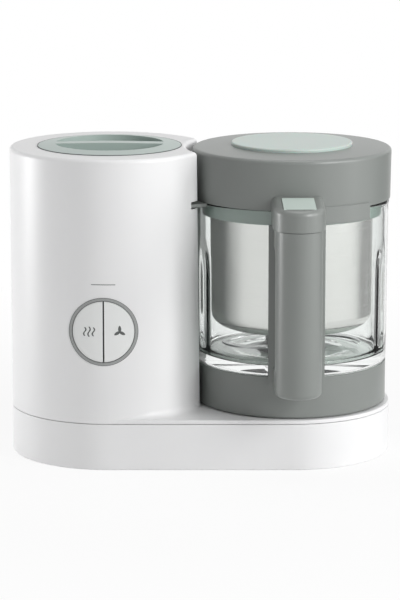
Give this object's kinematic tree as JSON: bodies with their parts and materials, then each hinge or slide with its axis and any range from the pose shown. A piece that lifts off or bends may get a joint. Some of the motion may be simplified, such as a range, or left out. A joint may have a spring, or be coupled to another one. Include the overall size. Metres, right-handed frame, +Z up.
{
  "type": "baby food maker",
  "caption": "Countertop baby food steamer and blender: water tower with round push control beside a handled glass jar with steel basket, blades and lid.",
  "frame": {"origin": "on the table, under the middle of the whole machine's box", "axes": "+X from the tower to the jar, +Y to the rear, +Z up"},
  "size_m": [0.306, 0.206, 0.2512],
  "materials": {
    "white_plastic": "fine satin moulded plastic",
    "grey_plastic": "satin soft grey moulded plastic",
    "mint_plastic": "translucent satin mint plastic",
    "sage_plastic": "satin sage green moulded plastic",
    "button_plastic": "satin pale grey moulded plastic",
    "dark_plastic": "satin dark grey moulded plastic",
    "clear_glass": "clear polished pressed glass",
    "basket_steel": "fine circumferential brushed stainless steel",
    "blade_steel": "ground stainless steel",
    "drive_steel": "turned machine steel",
    "motor_metal": "zinc plated pressed steel",
    "belt_rubber": "matt black rubber",
    "foot_rubber": "matt grey rubber",
    "clear_silicone": "translucent silicone",
    "board_laminate": "green printed circuit laminate"
  },
  "bodies": {
    "housing": {"base_cover": "white_plastic", "base_plate": "white_plastic", "rubber_feet": "foot_rubber", "plate_screws": "drive_steel", "cord_gland": "dark_plastic", "tower_shell": "white_plastic", "tower_screws": "drive_steel", "water_tank": "basket_steel", "heating_element": "drive_steel", "thermostat": "motor_metal", "steam_nozzle": "dark_plastic", "nozzle_seal": "clear_silicone", "control_bezel": "grey_plastic", "steam_button_spring": "drive_steel", "blend_button_spring": "drive_steel", "button_guide": "dark_plastic", "control_board": "board_laminate", "key_switches": "dark_plastic", "interlock_switch": "dark_plastic", "motor_mount": "motor_metal", "motor_screws": "drive_steel", "motor_case": "motor_metal", "drive_belt": "belt_rubber", "spindle_housing": "motor_metal", "spindle_bearings": "drive_steel"},
    "motor_rotor": {"motor_shaft": "drive_steel", "rotor_core": "drive_steel", "drive_pulley": "drive_steel", "cooling_fan": "dark_plastic"},
    "drive_spindle": {"drive_spindle": "drive_steel", "driven_pulley": "dark_plastic", "drive_coupling": "dark_plastic"},
    "steam_button": {"steam_button": "button_plastic"},
    "blend_button": {"blend_button": "button_plastic"},
    "interlock_finger": {"interlock_finger": "grey_plastic"},
    "tank_seal": {"tank_seal": "clear_silicone"},
    "tank_lid": {"tank_lid": "sage_plastic"},
    "jar_foot": {"jar_foot_ring": "foot_rubber"},
    "jar": {"glass_jar": "clear_glass", "jar_collar": "grey_plastic", "jar_gasket": "clear_silicone", "blade_seat": "dark_plastic", "seat_nut": "dark_plastic", "handle_spine": "grey_plastic", "handle_grip": "grey_plastic", "handle_screws": "drive_steel"},
    "blades": {"blade_shaft": "drive_steel", "blade_coupling": "dark_plastic", "chopping_blades": "blade_steel", "blade_hub": "dark_plastic"},
    "basket": {"steel_basket": "basket_steel", "basket_ring": "mint_plastic"},
    "lid_seal": {"lid_seal": "clear_silicone"},
    "lid": {"lid_shell": "grey_plastic", "lid_disc": "mint_plastic", "lid_liner": "mint_plastic", "steam_duct": "clear_silicone", "latch_housing": "grey_plastic", "lid_button_spring": "drive_steel"},
    "lid_button": {"lid_button": "mint_plastic"}
  },
  "joints": [
    {"name": "motor_spin", "type": "hinge", "parent": "housing", "child": "motor_rotor", "pos_m": [-0.073, 0.023, 0.1], "axis": [0, 0, 1], "continuous": true},
    {"name": "spindle_spin", "type": "hinge", "parent": "housing", "child": "drive_spindle", "pos_m": [0.073, 0.023, 0.1], "axis": [0, 0, 1], "continuous": true},
    {"name": "blade_spin", "type": "hinge", "parent": "jar", "child": "blades", "pos_m": [0.073, 0.023, 0.1], "axis": [0, 0, 1], "continuous": true},
    {"name": "steam_button_press", "type": "slide", "parent": "housing", "child": "steam_button", "axis": [0, 1, 0], "range_m": [0, 0.002], "stiffness_N_per_m": 500, "springref_m": -0.001, "deforming": ["steam_button_spring"]},
    {"name": "blend_button_press", "type": "slide", "parent": "housing", "child": "blend_button", "axis": [0, 1, 0], "range_m": [0, 0.002], "stiffness_N_per_m": 500, "springref_m": -0.001, "deforming": ["blend_button_spring"]},
    {"name": "interlock_press", "type": "slide", "parent": "housing", "child": "interlock_finger", "axis": [0, 0, -1], "range_m": [0, 0.0012], "stiffness_N_per_m": 300, "springref_m": -0.002},
    {"name": "tank_lid_lift", "type": "slide", "parent": "housing", "child": "tank_seal", "axis": [0, 0, 1], "range_m": [0, 0.06]},
    {"name": "tank_lid_turn", "type": "hinge", "parent": "tank_seal", "child": "tank_lid", "pos_m": [-0.073, 0.023, 0.24], "axis": [0, 0, 1], "range_deg": [0, 60]},
    {"name": "jar_lift", "type": "slide", "parent": "housing", "child": "jar_foot", "axis": [0, 0, 1], "range_m": [0, 0.22]},
    {"name": "jar_turn", "type": "hinge", "parent": "jar_foot", "child": "jar", "pos_m": [0.073, 0.023, 0.06], "axis": [0, 0, 1], "range_deg": [0, 30]},
    {"name": "basket_lift", "type": "slide", "parent": "jar", "child": "basket", "axis": [0, 0, 1], "range_m": [0, 0.13]},
    {"name": "lid_lift", "type": "slide", "parent": "basket", "child": "lid_seal", "axis": [0, 0, 1], "range_m": [0, 0.06]},
    {"name": "lid_turn", "type": "hinge", "parent": "lid_seal", "child": "lid", "pos_m": [0.073, 0.023, 0.22], "axis": [0, 0, 1], "range_deg": [0, 35]},
    {"name": "lid_button_press", "type": "slide", "parent": "lid", "child": "lid_button", "axis": [0, 0, -1], "range_m": [0, 0.003], "stiffness_N_per_m": 400, "springref_m": -0.003, "deforming": ["lid_button_spring"]}
  ],
  "couplings": [
    {"joint": "spindle_spin", "follows": "motor_spin", "ratio": 0.33333},
    {"joint": "blade_spin", "follows": "motor_spin", "ratio": 0.33333}
  ]
}
